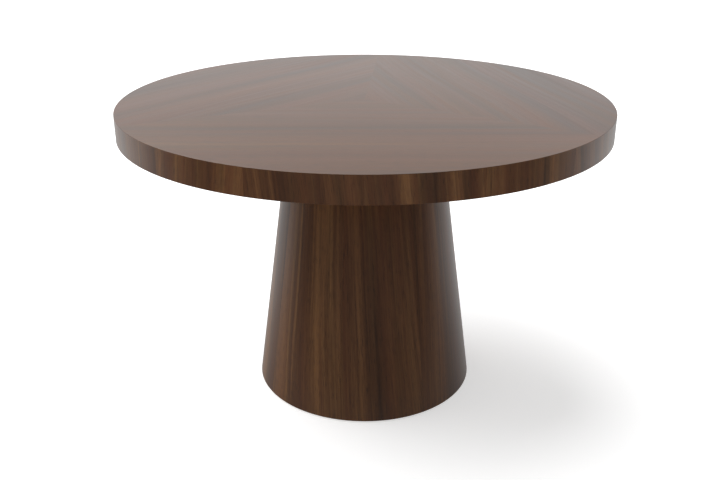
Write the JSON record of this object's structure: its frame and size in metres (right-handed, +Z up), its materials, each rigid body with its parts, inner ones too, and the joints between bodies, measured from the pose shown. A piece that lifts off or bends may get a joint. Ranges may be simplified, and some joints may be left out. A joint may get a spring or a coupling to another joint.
{
  "type": "tilt top table",
  "caption": "Round dining table with a hollow-core walnut top that tilts up on a pivot hidden in the head of a conical pedestal.",
  "frame": {"origin": "point on the floor under the middle of the pedestal", "axes": "+Z up; the pivot axis runs along X on the -Y side, so the +Y edge of the top lifts; the lock's knob is on the +Y side"},
  "size_m": [1.219, 1.219, 0.762],
  "materials": {
    "face_veneer": "dark walnut veneer, satin lacquer",
    "edge_veneer": "dark walnut veneer, grain upright, satin lacquer",
    "base_veneer": "dark walnut veneer, grain upright, satin lacquer",
    "backer_veneer": "walnut veneer, matt lacquer",
    "knob_wood": "turned walnut, satin lacquer",
    "plywood": "birch plywood, sanded",
    "fibreboard": "fibreboard, sanded",
    "black_steel": "black powder coat",
    "zinc_steel": "bright zinc plate",
    "bright_steel": "ground steel",
    "bronze": "sintered bronze",
    "rubber": "black rubber",
    "nylon": "white nylon"
  },
  "bodies": {
    "pedestal": {"base_veneer": "base_veneer", "base_shell": "plywood", "deck": "plywood", "mid_former": "plywood", "foot_disc": "plywood", "upper_uprights": "plywood", "lower_uprights": "plywood", "column": "black_steel", "column_bolts": "zinc_steel", "deck_bolts": "zinc_steel", "ballast_plate": "black_steel", "pivot_bracket": "black_steel", "bracket_bolts": "zinc_steel", "pivot_shaft": "bright_steel", "shaft_clips": "black_steel", "stop_pin": "zinc_steel", "stop_sleeves": "rubber", "rest_block": "plywood", "rest_screws": "zinc_steel", "rest_pads": "rubber", "keeper": "black_steel", "keeper_screws": "zinc_steel", "glide_inserts": "zinc_steel"},
    "tilt_top": {"veneer_front": "face_veneer", "veneer_right": "face_veneer", "veneer_left": "face_veneer", "edge_veneer": "edge_veneer", "backer_veneer": "backer_veneer", "upper_skin": "fibreboard", "lower_skin": "fibreboard", "rim_segments": "plywood", "core_ribs_x": "plywood", "core_ribs_y": "plywood", "core_block": "plywood", "core_inserts": "bronze", "tilt_arm_left": "black_steel", "tilt_arm_right": "black_steel", "arm_bushes": "bronze", "arm_bolts": "zinc_steel", "lock_guides": "nylon", "guide_screws": "zinc_steel"},
    "lock": {"lock_bar": "black_steel", "lock_pin": "zinc_steel", "lock_knob": "knob_wood", "knob_screw": "zinc_steel"},
    "glide_1": {"glide_stem_1": "zinc_steel", "glide_pad_1": "nylon"},
    "glide_2": {"glide_stem_2": "zinc_steel", "glide_pad_2": "nylon"},
    "glide_3": {"glide_stem_3": "zinc_steel", "glide_pad_3": "nylon"},
    "glide_4": {"glide_stem_4": "zinc_steel", "glide_pad_4": "nylon"}
  },
  "joints": [
    {"name": "top_tilt", "type": "hinge", "parent": "pedestal", "child": "tilt_top", "pos_m": [0, -0.15041, 0.611], "axis": [1, 0, 0], "range_deg": [0, 85]},
    {"name": "lock_slide", "type": "slide", "parent": "tilt_top", "child": "lock", "axis": [0, -1, 0], "range_m": [0, 0.02]},
    {"name": "glide_1_screw", "type": "slide", "parent": "pedestal", "child": "glide_1", "axis": [0, 0, -1], "range_m": [0, 0.012]},
    {"name": "glide_2_screw", "type": "slide", "parent": "pedestal", "child": "glide_2", "axis": [0, 0, -1], "range_m": [0, 0.012]},
    {"name": "glide_3_screw", "type": "slide", "parent": "pedestal", "child": "glide_3", "axis": [0, 0, -1], "range_m": [0, 0.012]},
    {"name": "glide_4_screw", "type": "slide", "parent": "pedestal", "child": "glide_4", "axis": [0, 0, -1], "range_m": [0, 0.012]}
  ]
}
